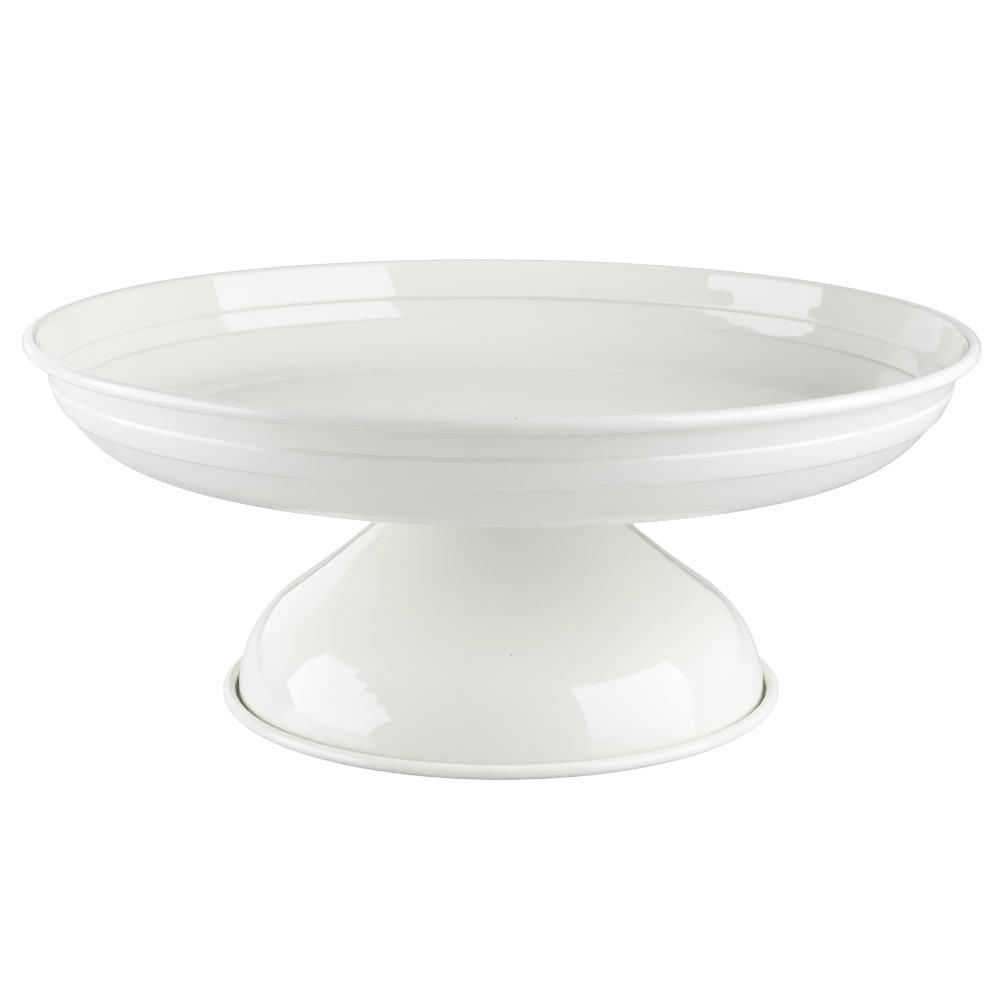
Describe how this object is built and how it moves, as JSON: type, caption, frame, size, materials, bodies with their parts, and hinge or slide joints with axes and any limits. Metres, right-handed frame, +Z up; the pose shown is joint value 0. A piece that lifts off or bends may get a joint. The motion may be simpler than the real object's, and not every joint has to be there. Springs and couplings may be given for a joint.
{
  "type": "footed serving bowl",
  "caption": "Shallow round serving bowl in white enamelled steel, with a rolled rim, a raised band round its wall and a hollow bell-shaped foot.",
  "frame": {"origin": "on the floor, under the middle of the foot", "axes": "+Z up along the axis that both parts are turned about; the piece is the same all round, so +X and +Y are free choices"},
  "size_m": [0.3, 0.3, 0.121],
  "materials": {
    "white_enamel": "glossy fired enamel, white with a faint warm green cast"
  },
  "bodies": {
    "root": {"bowl": "white_enamel", "foot": "white_enamel"}
  },
  "joints": []
}
